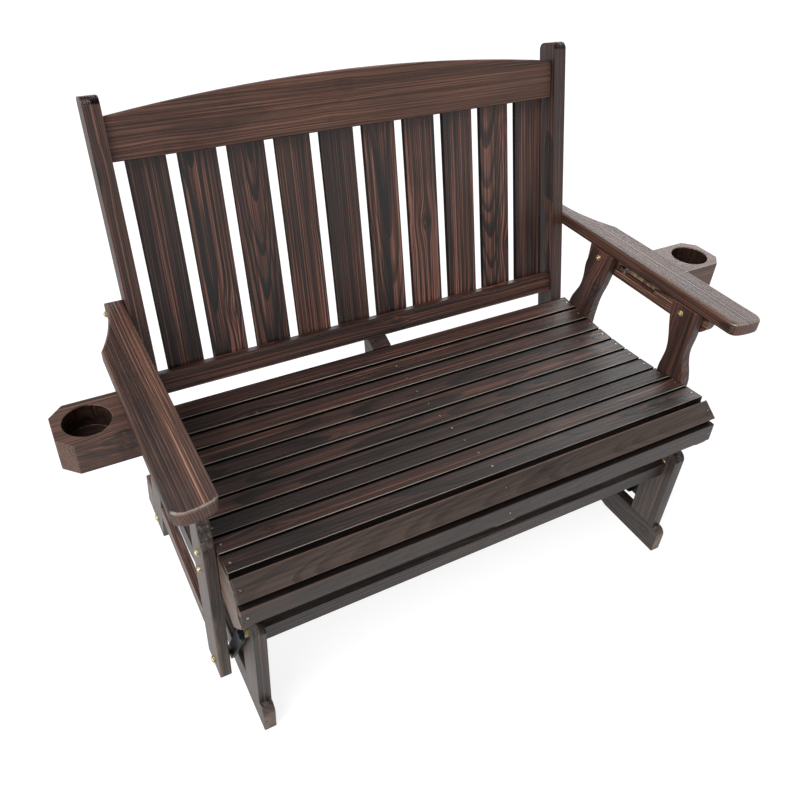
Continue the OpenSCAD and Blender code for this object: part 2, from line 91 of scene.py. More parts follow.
def make_camera():
    az, el, roll = map(math.radians, (CAM_AZIMUTH, CAM_ELEVATION, CAM_ROLL))
    ahead = Vector(
        (math.sin(az) * math.cos(el), math.cos(az) * math.cos(el), -math.sin(el))
    )
    level = Vector((math.cos(az), -math.sin(az), 0.0))
    up = level.cross(ahead)
    right = level * math.cos(roll) + up * math.sin(roll)
    up = up * math.cos(roll) - level * math.sin(roll)
    data = bpy.data.cameras.new("camera")
    data.sensor_fit = "HORIZONTAL"
    data.sensor_width = SENSOR_MM
    data.lens = CAM_FOCAL_PX * SENSOR_MM / IMAGE_PX
    data.shift_x = (IMAGE_PX / 2 - CAM_AXIS_PX[0]) / IMAGE_PX
    data.shift_y = -(IMAGE_PX / 2 - CAM_AXIS_PX[1]) / IMAGE_PX
    data.clip_end = 60.0
    cam = placed("camera", data)
    turn = Matrix((right, up, -ahead)).transposed().to_4x4()
    cam.matrix_world = Matrix.Translation(CAM_PLACE) @ turn
    bpy.context.scene.camera = cam


# Node trees


class Tree:
    """A short way to write a shader node tree."""

    def __init__(self, tree):
        self.tree = tree
        tree.nodes.clear()

    def add(self, kind, inputs=None, **settings):
        node = self.tree.nodes.new(kind)
        for key, value in settings.items():
            setattr(node, key, value)
        for key, value in (inputs or {}).items():
            self.put(node.inputs[key], value)
        return node

    def put(self, socket, value):
        if isinstance(value, bpy.types.NodeSocket):
            self.tree.links.new(value, socket)
        elif isinstance(value, bpy.types.Node):
            self.tree.links.new(value.outputs[0], socket)
        else:
            socket.default_value = value

    def attribute(self, name, output="Vector"):
        return self.add("ShaderNodeAttribute", attribute_name=name).outputs[output]

    def math(self, op, a, b=0.0, c=0.0, clamp=False):
        node = self.add("ShaderNodeMath", operation=op, use_clamp=clamp)
        for socket, value in zip(node.inputs, (a, b, c)):
            self.put(socket, value)
        return node.outputs[0]

    def vec(self, op, a, b=(0.0, 0.0, 0.0)):
        node = self.add("ShaderNodeVectorMath", operation=op)
        self.put(node.inputs[0], a)
        self.put(node.inputs[1], b)
        return node.outputs["Value"] if op in ("LENGTH", "DOT_PRODUCT") else node.outputs[0]

    def split(self, v):
        node = self.add("ShaderNodeSeparateXYZ", {0: v})
        return node.outputs[0], node.outputs[1], node.outputs[2]

    def join(self, x, y, z):
        return self.add("ShaderNodeCombineXYZ", {0: x, 1: y, 2: z}).outputs[0]

    def squares(self, a, b):
        """The sum of two squares."""
        return self.math("ADD", self.math("POWER", a, 2.0), self.math("POWER", b, 2.0))

    def sway(self, base, noise, amount):
        """base, moved by how far a noise is from its middle."""
        return self.math("MULTIPLY_ADD", self.math("SUBTRACT", noise, 0.5), amount, base)

    def noise(self, vector, scale=1.0, detail=2.0, rough=0.5):
        return self.add(
            "ShaderNodeTexNoise",
            {"Vector": vector, "Scale": scale, "Detail": detail, "Roughness": rough},
        ).outputs[0]

    def grit(self, vector, cells, detail=2.0, rough=0.5):
        """Noise with its own number of cells per metre along each axis."""
        return self.noise(self.vec("MULTIPLY", vector, cells), 1.0, detail, rough)

    def ramp(self, value, stops):
        node = self.add("ShaderNodeValToRGB", {0: value})
        marks = node.color_ramp.elements
        while len(marks) < len(stops):
            marks.new(0.5)
        for mark, (at, colour) in zip(marks, stops):
            mark.position = at
            mark.color = (*colour, 1.0)
        return node.outputs[0]

    def step(self, value, low, high):
        """0 at low and 1 at high, smooth between; low may be the larger."""
        node = self.add("ShaderNodeMapRange", {0: value}, interpolation_type="SMOOTHSTEP")
        self.put(node.inputs["From Min"], low)
        self.put(node.inputs["From Max"], high)
        return node.outputs[0]

    def mix(self, factor, a, b):
        node = self.add("ShaderNodeMix", data_type="RGBA")
        self.put(node.inputs[0], factor)
        for socket, value in ((node.inputs[6], a), (node.inputs[7], b)):
            self.put(socket, (*value, 1.0) if isinstance(value, tuple) else value)
        return node.outputs[2]


def new_material(name):
    mat = bpy.data.materials.new(name)
    mat.use_nodes = True
    return mat, Tree(mat.node_tree)


def srgb(text):
    """A colour written as rrggbb, as the linear values that Blender wants."""
    parts = [int(text[i : i + 2], 16) / 255 for i in (0, 2, 4)]
    return tuple(
        p / 12.92 if p <= 0.04045 else ((p + 0.055) / 1.055) ** 2.4 for p in parts
    )


# Wood

# Growth rings: their distance in metres, the noise that makes them uneven, as
# cells per metre and rings, and how many metres they wander: slowly across,
# quickly across and slowly through the board
RING_M = 0.0046
RING_NOISE, RING_UNEVEN = 70.0, 4.0
RING_WANDER = (0.030, 0.0030, 0.036)
ELSEWHERE = (7.0, 3.0, 5.0)  # the way to a second wander that is unlike the first
LATE_STOPS = [
    (at, (late, late, late))
    for at, late in ((0.0, 0.0), (0.45, 0.10), (0.76, 1.0), (0.93, 0.9), (1.0, 0.0))
]
LATE_FADE = (0.22, 0.60)

KNOT_GRID = (3.0, 7.0, 1.5)  # cells per metre that may hold a knot
KNOT_CHANCE = (0.52, 0.58)  # how high a cell's draw is where it holds one
KNOT_STRONG = (0.45, 0.60)  # how strong a board's grain is where it has knots
KNOT_LEAST, KNOT_SPREAD = 0.0020, 0.0055  # metres: the least radius, and what size adds
KNOT_SQUEEZE, KNOT_WOBBLE = 0.8, 0.007
KNOT_REACH = (0.045, 0.020)  # metres along and across in which lines bend round it
KNOT_BEND, KNOT_SHIFT = 0.8, 0.004
KNOT_HEART = 0.6  # share of the radius that is all knot
KNOT_SHADE = (2.6, 0.004)  # radii, and metres more, that its dark surround reaches

# Noise cells per metre along, across and through the grain
SLOW, QUICK = (1.3, 3.5, 3.5), (8.0, 40.0, 40.0)
STREAK, THREAD, FIBRE = (0.9, 210.0, 210.0), (2.5, 560.0, 560.0), (30.0, 1700.0, 1700.0)
CHAR, SMUDGE = (1.6, 14.0, 14.0), (5.0, 14.0, 14.0)
RIM, CORE = (90.0, 90.0, 90.0), (190.0, 190.0, 190.0)
SPECK, BLOTCH = (500.0, 900.0, 900.0), (60.0, 75.0, 75.0)

# How light each thing makes the wood, on the scale of the colour stops
PLAIN_LIGHT, EARLY_LIGHT, LATE_LIGHT = 0.44, 0.20, -0.50
STREAK_LIGHT, THREAD_LIGHT, CHAR_LIGHT, FIBRE_LIGHT = 1.9, 1.5, 0.85, 0.25
SMUDGE_LIGHT, KNOT_LIGHT = -0.16, -0.22
END_LIGHT, END_SPECK, END_LATE, RAW_SPECK = 0.76, 1.1, -0.35, 1.2

# Where a noise, edge or cut begins to count, and where it counts in full
SMUDGE_FROM, CORE_FROM, WORN_FROM = (0.54, 0.72), (0.42, 0.70), (0.66, 0.98)
ABOVE_ONE = (1.2, 1.8)  # in edge a painted highlight, in cut a raw end

WORN_CHAR = 0.6  # what charring counts, against streaks, where arrises are worn

# How much shows of worn arrises, of end grain, and of a painted highlight on an
# arris: what wear adds, and what always shows
WORN_SHOW, END_SHOW, HIGHLIGHT_SHOW = 0.55, 0.80, (0.40, 0.42)

# What late wood, threads, fibres, all lines and faces with painted shade add
# to roughness and to the height of the bump
LATE_ROUGH, THREAD_ROUGH, SHADE_ROUGH = -0.06, 0.16, 0.45
LATE_HIGH, FIBRE_HIGH, LINE_HIGH = 0.55, 0.25, 0.90
COAT = 0.32

# Of these colours, the near black is painted shade and the pale grey a painted highlight
KNOT_BROWN, WORN_BROWN, SHADE_BLACK, HIGHLIGHT_PALE = map(
    srgb, ("744a2f", "93644a", "090707", "a8a297")
)
RAW_STOPS = [(0.34, srgb("4b2f22")), (0.50, srgb("9a7a60")), (0.66, srgb("d3bfa4"))]


def wood_material(name, stops, gloss):
    """Charred and brushed softwood. Each board carries its own axes in the
    attribute grain (along, across, through, in metres), the place of its pith
    and its tone in pith, and in look how strong its grain is, how much painted
    shade a face gets (on narrow sides, in wells and on a slat's arrises other
    than its front one) and how far it is cut across the grain, above 1 where it
    was left raw. edge is 1 on worn arrises, less on lightly worn ones and 2
    where an arris carries a painted highlight."""
    mat, t = new_material(name)
    grain, pith, look = map(t.attribute, ("grain", "pith", "look"))
    edge = t.attribute("edge", "Fac")
    along, across, through = t.split(grain)
    pith_v, pith_w, tone = t.split(pith)
    strong, painted_shade, cut = t.split(look)

    # Knots: the nearest cell's middle, brought back to metres
    cells = t.add(
        "ShaderNodeTexVoronoi",
        {"Vector": t.vec("MULTIPLY", grain, KNOT_GRID), "Scale": 1.0, "Randomness": 0.7},
    )
    middle = t.vec("DIVIDE", cells.outputs["Position"], KNOT_GRID)
    du, dv, _ = t.split(t.vec("SUBTRACT", grain, middle))
    chance, size, _ = t.split(cells.outputs["Color"])
    has_knot = t.math("MULTIPLY", t.step(chance, *KNOT_CHANCE), t.step(strong, *KNOT_STRONG))
    radius = t.math("MULTIPLY_ADD", size, KNOT_SPREAD, KNOT_LEAST)
    away = t.math("SQRT", t.squares(t.math("MULTIPLY", du, KNOT_SQUEEZE), dv))
    away = t.sway(away, t.grit(grain, RIM), KNOT_WOBBLE)
    reach = t.squares(
        t.math("DIVIDE", du, KNOT_REACH[0]), t.math("DIVIDE", dv, KNOT_REACH[1])
    )
    pull = t.math("MULTIPLY", t.math("EXPONENT", t.math("MULTIPLY", reach, -1.0)), has_knot)
    bend = t.math("MULTIPLY", t.math("MULTIPLY", dv, pull), KNOT_BEND)
    bent = t.math("MULTIPLY_ADD", pull, KNOT_SHIFT, t.math("SUBTRACT", across, bend))
    bent_grain = t.join(along, bent, through)

    # Growth rings round the pith, bent by a slow wander
    y = t.math("SUBTRACT", bent, pith_v)
    y = t.sway(y, t.grit(grain, SLOW), RING_WANDER[0])
    y = t.sway(y, t.grit(grain, QUICK), RING_WANDER[1])
    z = t.math("SUBTRACT", through, pith_w)
    z = t.sway(z, t.grit(t.vec("ADD", grain, ELSEWHERE), SLOW), RING_WANDER[2])
    ring = t.vec("LENGTH", t.join(y, z, 0.0))
    width = t.noise(t.join(t.math("MULTIPLY", ring, RING_NOISE), tone, 0.0), 1.0, 3.0, 0.6)
    phase = t.math("ADD", t.math("DIVIDE", ring, RING_M), t.math("MULTIPLY", width, RING_UNEVEN))
    late = t.ramp(t.math("FRACT", phase), LATE_STOPS)
    late = t.math("MULTIPLY", late, t.step(width, *LATE_FADE))

    # The figure on a face
    streak = t.grit(bent_grain, STREAK, 3.0, 0.6)
    thread = t.grit(bent_grain, THREAD, 2.0, 0.6)
    fibre = t.grit(grain, FIBRE, 2.0, 0.6)
    char = t.grit(grain, CHAR, 3.0, 0.55)
    smudge = t.grit(grain, SMUDGE, 3.0, 0.55)
    heart = t.math("MULTIPLY", radius, KNOT_HEART)
    knot = t.math("MULTIPLY", t.step(away, radius, heart), has_knot)
    surround = t.math("MULTIPLY_ADD", radius, *KNOT_SHADE)
    shade = t.math("MULTIPLY", t.step(away, surround, radius), has_knot)
    lines = t.math("MULTIPLY_ADD", late, LATE_LIGHT, EARLY_LIGHT)
    lines = t.sway(lines, streak, STREAK_LIGHT)
    lines = t.sway(lines, thread, THREAD_LIGHT)
    light = t.math("MULTIPLY_ADD", lines, strong, PLAIN_LIGHT)
    light = t.sway(light, char, t.math("MULTIPLY", strong, CHAR_LIGHT))
    light = t.math("MULTIPLY_ADD", t.step(smudge, *SMUDGE_FROM), SMUDGE_LIGHT, light)
    light = t.sway(light, fibre, FIBRE_LIGHT)
    light = t.math("ADD", light, tone)
    light = t.math("MULTIPLY_ADD", shade, KNOT_LIGHT, light, clamp=True)
    colour = t.ramp(light, stops)
    core = t.step(t.grit(grain, CORE), *CORE_FROM)
    colour = t.mix(t.math("MULTIPLY", knot, core), colour, KNOT_BROWN)

    # Worn arrises, painted shade on narrow sides and painted highlights on arrises
    worn = t.step(t.math("MULTIPLY_ADD", char, WORN_CHAR, streak), *WORN_FROM)
    unshaded = t.math("SUBTRACT", 1.0, painted_shade, clamp=True)
    wear = t.math("MULTIPLY", t.math("MULTIPLY", edge, worn, clamp=True), unshaded)
    colour = t.mix(t.math("MULTIPLY", wear, WORN_SHOW), colour, WORN_BROWN)
    # Painted shade: narrow sides, wells and a slat's other arrises turn near black
    colour = t.mix(painted_shade, colour, SHADE_BLACK)
    # Painted highlight: a pale colour on arrises whose edge is 2, broken up by the wear noise
    lip = t.math("MULTIPLY", t.step(edge, *ABOVE_ONE), t.math("MULTIPLY_ADD", worn, *HIGHLIGHT_SHOW))
    colour = t.mix(lip, colour, HIGHLIGHT_PALE)

    # Faces cut across the grain: rings in a fine speckle, raw ones pale
    speck = t.grit(grain, SPECK, 3.0, 0.6)
    blotch = t.grit(grain, BLOTCH, 3.0, 0.6)
    ends = t.sway(END_LIGHT, speck, END_SPECK)
    ends = t.math("MULTIPLY_ADD", late, END_LATE, ends, clamp=True)
    shown = t.math("MULTIPLY", cut, END_SHOW, clamp=True)
    colour = t.mix(shown, colour, t.ramp(ends, stops))
    raw = t.ramp(t.sway(blotch, speck, RAW_SPECK), RAW_STOPS)
    colour = t.mix(t.step(cut, *ABOVE_ONE), colour, raw)

    rough = t.math("MULTIPLY_ADD", late, LATE_ROUGH, gloss)
    rough = t.math("MULTIPLY_ADD", thread, THREAD_ROUGH, rough)
    rough = t.math("MULTIPLY_ADD", painted_shade, SHADE_ROUGH, rough, clamp=True)
    height = t.math("MULTIPLY_ADD", late, LATE_HIGH, t.math("MULTIPLY", fibre, FIBRE_HIGH))
    height = t.math("MULTIPLY_ADD", thread, LINE_HIGH, height)
    height = t.math("MULTIPLY_ADD", streak, LINE_HIGH, height)
    bump = t.add(
        "ShaderNodeBump", {"Strength": 0.75, "Distance": 0.0012, "Height": height}
    )
    shader = t.add(
        "ShaderNodeBsdfPrincipled",
        {"Base Color": colour, "Roughness": rough, "Normal": bump.outputs[0]},
    )
    # Faces with painted shade also lose their coat and their specular reflection, as part of that
    # painted shade
    t.put(shader.inputs["Coat Weight"], t.math("MULTIPLY_ADD", painted_shade, -COAT, COAT, clamp=True))
    t.put(shader.inputs["Specular Tint"], t.mix(painted_shade, (1.0, 1.0, 1.0), (0.0, 0.0, 0.0)))
    shader.inputs["Coat Roughness"].default_value = 0.26
    shader.inputs["Specular IOR Level"].default_value = 0.45
    t.put(shader.inputs["Coat Normal"], bump.outputs[0])
    out = t.add("ShaderNodeOutputMaterial")
    t.put(out.inputs["Surface"], shader)
    return mat


SHADES_AT = (0.0, 0.28, 0.50, 0.70, 0.86, 1.0)


def shades(*texts):
    """Colour stops from dark to light."""
    return [(at, srgb(text)) for at, text in zip(SHADES_AT, texts)]


WOOD_STOPS = shades("130d0c", "291b17", "432c24", "5f3b30", "7a4d3e", "99685a")
GREY_STOPS = shades("14100f", "2a211e", "40342f", "57473f", "6f5b50", "8f7766")
WARM_STOPS = shades("1a1210", "35231d", "51352b", "6d4a3c", "8a604d", "b08a72")

# Metal

MOTTLE, WEAR, WEAR_SHOW = (0.35, 0.7), (0.62, 0.75), 0.35
FINER = 14  # how many times finer the wear is than the mottle
ROUGH_SPAN, ROUGH_BELOW = 0.25, 0.12


def metal_material(name, colour, dark, metallic, rough, scale):
    """Plated or coated metal with a mottled finish and fine wear."""
    mat, t = new_material(name)
    place = t.add("ShaderNodeTexCoord").outputs["Object"]
    mottle = t.noise(place, scale, 4.0, 0.6)
    fine = t.noise(place, scale * FINER, 3.0, 0.6)
    tint = t.mix(t.step(mottle, *MOTTLE), srgb(dark), srgb(colour))
    tint = t.mix(t.math("MULTIPLY", t.step(fine, *WEAR), WEAR_SHOW), tint, srgb(dark))
    roughness = t.math("MULTIPLY_ADD", mottle, ROUGH_SPAN, rough - ROUGH_BELOW)
    bump = t.add("ShaderNodeBump", {"Strength": 0.25, "Distance": 0.0002, "Height": fine})
    shader = t.add(
        "ShaderNodeBsdfPrincipled",
        {"Base Color": tint, "Roughness": roughness, "Normal": bump.outputs[0]},
    )
    shader.inputs["Metallic"].default_value = metallic
    out = t.add("ShaderNodeOutputMaterial")
    t.put(out.inputs["Surface"], shader)
    return mat


# Shapes of boards

ALONG_X, ALONG_Y, ALONG_Z = Vector((1, 0, 0)), Vector((0, 1, 0)), Vector((0, 0, 1))
UNWORN, LIGHTLY_WORN, WORN, PAINTED_HIGHLIGHT = 0.0, 0.4, 1.0, 2.0  # values of edge; the last marks a painted highlight
FLAT_DEG, SHARP_DEG = 0.6, 28.0  # less is one face, and more is an arris
SHORTEST = 1.2  # radii that an edge has to be long to be rounded
REAR_WIDEN = 2.6  # how much flatter a slat's rear arris is, which widens the painted shade on it
UPWARD = 0.9  # the least upward part of a top face's normal
TIP_DEG, TIP_DEPTH = 40, 0.02  # an armrest's tip turns more, this near its front
BESIDE_ARC = 1.05  # outline points nearer the tip than this many radii are dropped
ARC_STEPS, ARM_STEPS = 6, 5


def plane_axis(y, z):
    """A unit vector in the side view's plane."""
    return Vector((0.0, y, z)).normalized()


def principal_lean(node):
    """The direction of a board's long axis in the Y Z plane, from its corners."""
    mesh = NODES[node].data
    pts = [(v.co.y, v.co.z) for v in mesh.vertices]
    n = len(pts)
    my, mz = sum(p[0] for p in pts) / n, sum(p[1] for p in pts) / n
    yy = sum((p[0] - my) ** 2 for p in pts)
    zz = sum((p[1] - mz) ** 2 for p in pts)
    yz = sum((p[0] - my) * (p[1] - mz) for p in pts)
    angle = 0.5 * math.atan2(2 * yz, yy - zz)
    axis = plane_axis(math.cos(angle), math.sin(angle))
    return axis if axis.z >= 0 else -axis


def clean_copy(node, name):
    """A new mesh object with the node's shape, welded into flat faces."""
    bm = welded(node)
    bmesh.ops.dissolve_limit(
        bm, angle_limit=math.radians(FLAT_DEG), verts=bm.verts, edges=bm.edges
    )
    return mesh_from(bm, name)


def wear_edges(obj, radius, segments):
    """Rounds the arrises of a board and marks the new faces as worn."""
    bm = bmesh.new()
    bm.from_mesh(obj.data)
    limit = math.radians(SHARP_DEG)
    sharp = [
        e
        for e in bm.edges
        if len(e.link_faces) == 2 and e.calc_face_angle(0.0) > limit
        and e.calc_length() > radius * SHORTEST
    ]
    flat = set(bm.faces)
    made = bmesh.ops.bevel(
        bm,
        geom=sharp,
        offset=radius,
        offset_type="OFFSET",
        segments=segments,
        profile=0.5,
        affect="EDGES",
        clamp_overlap=True,
        miter_outer="SHARP",
    )
    worn = set(made["faces"]) - flat
    layer = bm.faces.layers.float.new("edge")
    for face in bm.faces:
        face[layer] = WORN if face in worn else UNWORN
        face.smooth = True
    bm.to_mesh(obj.data)
    bm.free()


def plate(name, loop, u, v, low, high, radius, steps=3, widen=1.0):
    """A board from its outline, points along u and v, with thickness from low
    to high along the third axis and round arrises on both faces, flatter by
    widen on the side toward v."""
    n = u.cross(v)
    size = len(loop)
    area = sum(loop[i - 1][0] * loop[i][1] - loop[i][0] * loop[i - 1][1] for i in range(size))
    if area < 0:
        loop = loop[::-1]
    out = []
    for i in range(size):
        du, dv = loop[(i + 1) % size][0] - loop[i][0], loop[(i + 1) % size][1] - loop[i][1]
        out.append(Vector((dv, -du)).normalized())
    pull = [(out[i - 1] + out[i]) / (1 + out[i - 1].dot(out[i])) for i in range(size)]
    mean = sum(q[1] for q in loop) / size
    for q, s in zip(loop, pull):
        s.y *= widen if q[1] > mean else 1.0
    turn = [math.pi / 2 * k / steps for k in range(steps + 1)]
    rows = [(radius * (1 - math.sin(a)), high - radius * (1 - math.cos(a))) for a in turn]
    rows += [(inset, low + high - h) for inset, h in reversed(rows)]
    bm = bmesh.new()
    layer = bm.faces.layers.float.new("edge")
    rings = [
        [bm.verts.new(u * (q[0] - inset * s.x) + v * (q[1] - inset * s.y) + n * h)
         for q, s in zip(loop, pull)]
        for inset, h in rows
    ]
    bm.faces.new(rings[0])
    bm.faces.new(rings[-1][::-1])
    for k, (a, b) in enumerate(zip(rings, rings[1:])):
        for i in range(size):
            j = (i + 1) % size
            made = bm.faces.new((a[i], b[i], b[j], a[j]))
            made[layer] = UNWORN if k == steps else WORN
    bmesh.ops.recalc_face_normals(bm, faces=bm.faces)
    for made in bm.faces:
        made.smooth = True
    return mesh_from(bm, name)


def slat_plate(node, radius):
    """A seat slat with round arrises, and the direction its top looks."""
    spots = [v.co.copy() for v in NODES[node].data.vertices]
    x0, x1 = min(c.x for c in spots), max(c.x for c in spots)
    ends = []
    for c in spots:
        if c.x < x0 + NEAR and all((c - e).length > SAME for e in ends):
            ends.append(c)
    first = ends[0]
    across = sorted(ends[1:], key=lambda c: (c - first).length)[1] - first
    across = across.normalized()
    if across.y < 0:
        across = -across
    face = ALONG_X.cross(across)
    lows = [min(c.dot(d) for c in ends) for d in (across, face)]
    highs = [max(c.dot(d) for c in ends) for d in (across, face)]
    loop = [(x0, lows[0]), (x1, lows[0]), (x1, highs[0]), (x0, highs[0])]
    made = plate(node + "_board", loop, ALONG_X, across, lows[1], highs[1], radius,
                 widen=REAR_WIDEN)
    return made, face


def arm_plate(node, radius, corner):
    """An armrest from the outline of its top face, with one more round corner."""
    bm = welded(node)
    low, high = min(v.co.z for v in bm.verts), max(v.co.z for v in bm.verts)
    follow = {}
    for f in bm.faces:
        if f.normal.z > UPWARD and f.calc_center_median().z > high - SAME:
            for loop in f.loops:
                other = [g for g in loop.edge.link_faces if g != f]
                if other and other[0].normal.z < UPWARD:
                    follow[loop.vert] = loop.link_loop_next.vert
    at = next(iter(follow))
    ring = []
    while at in follow:
        ring.append(at.co.to_2d())
        at = follow.pop(at)
    bm.free()
    front = min(q.y for q in ring)
    turns = [math.pi - (ring[i - 1] - q).angle(ring[(i + 1) % len(ring)] - q)
             for i, q in enumerate(ring)]
    tip = next(q for q, a in zip(ring, turns)
               if a > math.radians(TIP_DEG) and q.y < front + TIP_DEPTH)
    ring = [q for q in ring if q == tip or (q - tip).length > corner * BESIDE_ARC]
    at = ring.index(tip)
    ring = ring[at:] + ring[:at]
    start, end = (tip + (q - tip).normalized() * corner for q in (ring[-1], ring[1]))
    arc = [k / ARC_STEPS for k in range(ARC_STEPS + 1)]
    done = [start * (1 - s) ** 2 + tip * 2 * s * (1 - s) + end * s * s for s in arc] + ring[1:]
    tidy = [q for i, q in enumerate(done) if (q - done[i - 1]).length > SAME]
    return plate(node + "_board", [(q.x, q.y) for q in tidy], ALONG_X, ALONG_Y,
                 low, high, radius, ARM_STEPS)


# Grain of boards

START_SPAN = 40.0  # metres of noise in which each board's own place is drawn

# From a board's middle to its pith, across and under the face, in metres, and
# the pith's rise and drift per metre along: flat sawn boards, then the others
FLAT_ACROSS, FLAT_UNDER, FLAT_RISE, FLAT_DRIFT = 0.02, (0.03, 0.06), (0.025, 0.06), 0.008
SIDE_ACROSS, SIDE_UNDER, SIDE_RISE, SIDE_DRIFT = (0.07, 0.14), 0.03, 0.02, 0.012

# How square a face is to the board's side or end where it begins to count as
# one, and how much more until it counts in full
SIDE_FROM, CUT_FROM = (0.75, 0.2), (0.45, 0.4)
RAW_SQUARE, RAW_DEPTH = 0.8, 0.002  # a raw end: how square, and within how many metres
HIGHLIGHT_ALONG, HIGHLIGHT_ACROSS, HIGHLIGHT_UP = 0.5, 0.1, 0.5  # where a slat's front arris looks, which gets a painted highlight
TIP_UP = TIP_ALONG = 0.25  # where an armrest's front arris looks, which gets a painted highlight
WELL_BESIDE, WELL_DEPTH = 0.02, 0.01  # metres: into a well from its wall, and down to its floor
WELL_SIDEWAYS = 0.3  # the most upward part of a wall's normal
# How much painted shade a well's walls and floor get
WELL_SHADE = 0.75


def ease(value, low, span):
    """0 up to low, 1 from low + span on, straight between."""
    return min(max((value - low) / span, 0.0), 1.0)


def give_grain(obj, axis, face, tone, flat_sawn=None, strong=1.0, dark_side=0.0,
               raw_end=0, raw=2.0, lip=False, lip_end=0, well=False):
    """Writes a board's own axes, pith and look: axis runs along the grain and
    face is square to its widest side. raw_end names the end that was cut last.
    One setting paints a highlight on a slat's front arris and shade on its
    other arrises, another names an end whose upper arris gets a painted
    highlight, and well paints shade on the walls and the floor of a round
    well. Narrow sides get painted shade by the board's own share."""
    rng = random.Random(obj.name)
    side = axis.cross(face).normalized()
    start = Vector([rng.uniform(0, START_SPAN) for _ in range(3)])
    lo = Vector([min(v.co[i] for v in obj.data.vertices) for i in range(3)])
    hi = Vector([max(v.co[i] for v in obj.data.vertices) for i in range(3)])
    mid = (lo + hi) / 2
    if flat_sawn is None:
        flat_sawn = rng.random() < 0.5
    if flat_sawn:
        pith = (rng.uniform(-FLAT_ACROSS, FLAT_ACROSS), -rng.uniform(*FLAT_UNDER))
        rise = rng.choice((-1, 1)) * rng.uniform(*FLAT_RISE)
        drift = rng.uniform(-FLAT_DRIFT, FLAT_DRIFT)
    else:
        pith = (rng.choice((-1, 1)) * rng.uniform(*SIDE_ACROSS), rng.uniform(-SIDE_UNDER, SIDE_UNDER))
        rise = rng.uniform(-SIDE_RISE, SIDE_RISE)
        drift = rng.uniform(-SIDE_DRIFT, SIDE_DRIFT)
    grain = obj.data.attributes.new("grain", "FLOAT_VECTOR", "POINT")
    heart = obj.data.attributes.new("pith", "FLOAT_VECTOR", "POINT")
    look = obj.data.attributes.new("look", "FLOAT_VECTOR", "CORNER")
    for i, v in enumerate(obj.data.vertices):
        p = v.co - mid
        u = p.dot(axis)
        grain.data[i].vector = (
            u + start.x,
            p.dot(side) + start.y,
            p.dot(face) + start.z,
        )
        heart.data[i].vector = (
            pith[0] + start.y - drift * u,
            pith[1] + start.z - rise * u,
            tone,
        )
    far = max(v.co.dot(axis) * (raw_end or 1) for v in obj.data.vertices)
    edge = obj.data.attributes["edge"]
    for poly in obj.data.polygons:
        across, up = poly.normal.dot(side), poly.normal.dot(face)
        along = poly.normal.dot(axis)
        # Painted shade on the narrow sides, by the board's share
        painted_shade = ease(abs(across), *SIDE_FROM) * dark_side
        cut = ease(abs(along), *CUT_FROM)
        at_end = poly.center.dot(axis) * raw_end > far - RAW_DEPTH
        if raw_end and along * raw_end > RAW_SQUARE and at_end:
            cut = raw
        rounded = edge.data[poly.index].value == WORN
        # A slat's front top arris gets a painted highlight, its other arrises painted shade
        if lip and rounded and abs(along) < HIGHLIGHT_ALONG:
            if across > HIGHLIGHT_ACROSS and up > HIGHLIGHT_UP:
                edge.data[poly.index].value = PAINTED_HIGHLIGHT
            else:
                painted_shade = dark_side
        # An armrest's front upper arris gets a painted highlight; its other arrises count as lightly
        # worn
        if lip_end and rounded:
            highlit = up > TIP_UP and along * lip_end > TIP_ALONG
            edge.data[poly.index].value = PAINTED_HIGHLIGHT if highlit else LIGHTLY_WORN
        # Painted shade on the walls and the floor of a cup's well
        if well:
            beside = poly.center + poly.normal * WELL_BESIDE
            inside = all(lo[k] < beside[k] < hi[k] for k in (0, 1))
            wall = poly.normal.z < WELL_SIDEWAYS and inside
            if wall or poly.normal.z > UPWARD and poly.center.z < hi.z - WELL_DEPTH:
                painted_shade, cut = WELL_SHADE, 0.0
        for i in poly.loop_indices:
            look.data[i].vector = (strong, painted_shade, cut)


def shade_by_angle(obj):
    """Smooth shading that keeps the flat faces flat."""
    mod = obj.modifiers.new("flat_faces", "WEIGHTED_NORMAL")
    mod.keep_sharp = True
    mod.weight = 90


def board(node, axis, face, mat, slot, radius=0.0016, tone=0.0, segments=2, shape=None,
          **grain):
    """Replaces a wooden node by a board with worn arrises and its own grain."""
    obj = shape or clean_copy(node, node + "_board")
    if not shape:
        wear_edges(obj, radius, segments)
    give_grain(obj, axis, face, tone, **grain)
    obj.data.materials.append(mat)
    shade_by_angle(obj)
    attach(obj, BODY_OF[node])
    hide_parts(node)


# The chair's boards and links

make_camera()

WOOD = wood_material("charred_wood", WOOD_STOPS, 0.40)
WARM = wood_material("charred_wood_warm", WARM_STOPS, 0.40)
GREY = wood_material("charred_wood_grey", GREY_STOPS, 0.42)
STEEL = metal_material("blued_steel", "2c3442", "10141c", metallic=0.80, rough=0.40, scale=90.0)
SCREW = metal_material("screw_steel", "dccfb2", "6b6152", metallic=0.90, rough=0.30, scale=300.0)
# Near-black, matt discs round the screw heads: painted shade in their countersunk holes
HOLE_SHADE = metal_material("screw_holes", "100c0b", "050404", metallic=0.0, rough=0.75, scale=300.0)
BRASS = metal_material("passivated_bolts", "e9e1b9", "b7a473", metallic=0.9, rough=0.28, scale=160.0)

LEAN = principal_lean("back_slat_05")
LEAN_FACE = Vector((0.0, -LEAN.z, LEAN.y))

